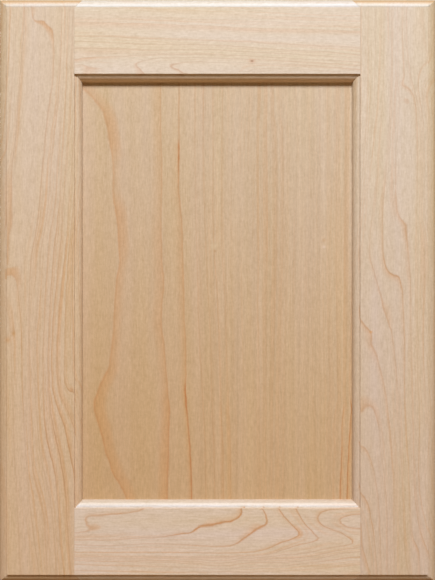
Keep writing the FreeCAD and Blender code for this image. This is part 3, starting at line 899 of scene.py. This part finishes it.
# %% A finish for each board
finishes = {
    "left_stile": maple(
        "left_stile_maple",
        UPRIGHT,
        head=colour(213, 192, 166),
        foot=colour(210, 181, 149),
        line=colour(174, 122, 78),
        glow=colour(204, 154, 102),
        seed=1.7,
        stripes=0.42,
        specks=[
            ((13.5, 333.5), (1.6, 2.2), 0.0, 0.6, colour(194, 144, 84)),
            ((7.5, 340), (3.0, 3.0), 0.0, 0.6, colour(204, 154, 100)),
            ((71.5, 389.5), (1.3, 1.8), 0.0, 0.6, colour(190, 138, 90)),
        ],
    ),
    "right_stile": maple(
        "right_stile_maple",
        UPRIGHT,
        head=colour(216, 199, 177),
        foot=colour(209, 185, 160),
        line=colour(188, 142, 98),
        glow=colour(208, 162, 118),
        seed=5.1,
        specks=[((371, 332), (1.6, 1.2), 0.0, 0.8, colour(206, 150, 90))],
    ),
    "top_rail": maple(
        "top_rail_maple",
        LEVEL,
        head=colour(220, 203, 180),
        foot=colour(220, 203, 180),
        line=colour(182, 133, 90),
        glow=colour(213, 172, 134),
        seed=9.3,
        rightwards=(0, 0.015, 0.07),
        # Painted shade on the top rail's crest and underside, and a painted highlight on its
        # crown.
        crest_painted_shading=(0.71, 0.79, 0.94, 1.0),
        crown_painted_shading=(0.92, 0.97, 1.08, 1.0),
        underside_painted_shade=(0.94, 0.82, 0.68, 1.0),
        specks=[
            ((252, 61), (3.4, 2.2), 0.0, 0.45, colour(206, 150, 104)),
            ((252, 61), (1.5, 0.8), 0.0, 0.8, colour(128, 78, 44)),
        ],
    ),
    "bottom_rail": maple(
        "bottom_rail_maple",
        LEVEL,
        head=colour(219, 200, 183),
        foot=colour(219, 200, 183),
        line=colour(188, 126, 68),
        glow=colour(214, 161, 102),
        seed=3.9,
        rightwards=(0, -0.03, -0.12),
        # A painted highlight on the bottom rail's crest, and painted shade on its crown.
        crest_painted_shading=(0.94, 1.07, 1.28, 1.0),
        crown_painted_shading=(0.76, 0.75, 0.72, 1.0),
    ),
    "panel": maple(
        "panel_maple",
        UPRIGHT,
        head=colour(205, 180, 148),
        foot=colour(198, 162, 120),
        line=colour(184, 118, 62),
        glow=colour(200, 150, 98),
        seed=7.2,
        stripes=0.16,
        threading=0.3,
        rightwards=(0.035, 0.1, 0.2),
        specks=[
            ((214, 246), (3.5, 3.5), panel_depth, 0.35, colour(216, 196, 158)),
            ((215, 251), (1.2, 1.2), panel_depth, 0.5, colour(178, 132, 84)),
            ((324, 240), (2.0, 2.0), panel_depth, 0.4, colour(194, 146, 98)),
            ((324, 247), (1.4, 1.4), panel_depth, 0.5, colour(226, 200, 180)),
        ],
    ),
}
for node, board in boards.items():
    board.data.materials.clear()
    board.data.materials.append(finishes[node])
print("finishes:", ", ".join(m.name for m in finishes.values()))

# %% [markdown]
# ## Rubber barrels
#
# The panel isn't glued. Small rubber barrels in the bottom of the groove keep it in the middle
# and let it swell and shrink. They can't be seen, but anyone who takes the door apart finds
# them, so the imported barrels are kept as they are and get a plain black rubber.

# %% The rubber finish
rubber = Finish("black_rubber")
grit = rubber.noise([2500] * 3, 0.0)
rubber.set("Base Color", rubber.mix(grit, colour(38, 38, 40), colour(58, 57, 56)))
rubber.set("Roughness", 0.7 + grit * 0.2)
barrels = [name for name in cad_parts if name.startswith("panel_spacer")]
for name in barrels:
    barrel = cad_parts[name].data
    barrel.materials.clear()
    barrel.materials.append(rubber.material)
print(len(barrels), "rubber barrels")

# %% [markdown]
# ## Floor and backdrop
#
# The door stands on a plain pale sheet. For the camera the sheet turns clear further off, so that
# it fades into the backdrop and shows no horizon. A curved backdrop would do the same, but it has
# a front, and this door is looked at from all round. The light that the sheet throws up at the
# door is a separate matter: that is a dim warm colour all over, which gives the bottom edge the
# brown that it has in the photograph.

# %% The floor and the world
scene = bpy.context.scene
scene.view_settings.view_transform = "Standard"
FLOOR_FADES = (0.5, 1.8)  # metres from the door

floor_data = bpy.data.meshes.new("floor")
plane = bmesh.new()
bmesh.ops.create_grid(plane, x_segments=1, y_segments=1, size=6.0)
plane.to_mesh(floor_data)
plane.free()
floor = bpy.data.objects.new("floor", floor_data)
scene.collection.objects.link(floor)

paper = Finish("pale_floor")
for_camera = paper.node("ShaderNodeLightPath", output="Is Camera Ray")
paper.set("Base Color", paper.mix(for_camera, colour(148, 118, 80), colour(208, 196, 180)))
paper.set("Roughness", 0.9)
from_door = paper.vector("LENGTH", paper.place(), (0, 0, 0), output="Value")
faded = paper.ramp(from_door, *FLOOR_FADES) * for_camera
solid_floor = Signal(paper, paper.shader.outputs[0])
clear = paper.node("ShaderNodeBsdfTransparent")
paper.show(paper.node("ShaderNodeMixShader", None, [faded, solid_floor, clear]))
floor_data.materials.append(paper.material)

scene.world = bpy.data.worlds.new("studio")
scene.world.use_nodes = True
scene.world.node_tree.nodes.remove(scene.world.node_tree.nodes["Background"])
studio = Nodes(scene.world.node_tree)
warm_air = studio.node("ShaderNodeBackground", None, [(1.0, 0.66, 0.28, 1.0), 0.02])
backdrop = studio.node("ShaderNodeBackground", None, [(0.76, 0.63, 0.47, 1.0), 1.0])
in_sight = studio.node("ShaderNodeLightPath", output="Is Camera Ray")
studio.show(studio.node("ShaderNodeMixShader", None, [in_sight, warm_air, backdrop]))
print("floor", [round(size, 1) for size in floor.dimensions], "metres, backdrop and warm air")

# %% [markdown]
# ## Lamps
#
# The photograph shows one broad light from above the front. A soft strip three metres wide hangs
# there, about 50 degrees up. It lights the face and the tops of the mouldings, and throws the
# short shadow of the top rail on the panel, and its width keeps the shadows of the stiles weak. A
# dim warm sheet on each side brightens the rounds that turn away from the middle, and a lamp
# behind lights the back.

# %% Hang the lamps
NEARLY_WHITE = (0.985, 1.003, 1.03)
WARM = (1.0, 0.67, 0.32)
WHITE = (1.0, 1.0, 1.0)


def soft_lamp(name, place, size, watts, tint):
    """A rectangular lamp that faces the middle of the door."""
    lamp = bpy.data.objects.new(name, bpy.data.lights.new(name, "AREA"))
    lamp.data.shape = "RECTANGLE"
    lamp.data.size, lamp.data.size_y = size
    lamp.data.energy = watts
    lamp.data.color = tint
    lamp.location = place
    aim = Vector((0, 0, door_height / 2)) - Vector(place)
    lamp.rotation_euler = aim.to_track_quat("-Z", "Y").to_euler()
    scene.collection.objects.link(lamp)
    print(f"{name}: {watts:.0f} W, {aim.length:.1f} m away")


soft_lamp("key", (0.18, -2.4, 3.14), (3.0, 0.8), 206.0, NEARLY_WHITE)
soft_lamp("left sheet", (-1.7, 0.25, 0.6), (0.9, 1.4), 5.0, WARM)
soft_lamp("right sheet", (1.7, 0.25, 0.6), (0.9, 1.4), 4.8, WARM)
soft_lamp("back", (-0.6, 1.5, 0.5), (1.0, 0.8), 22.0, WHITE)
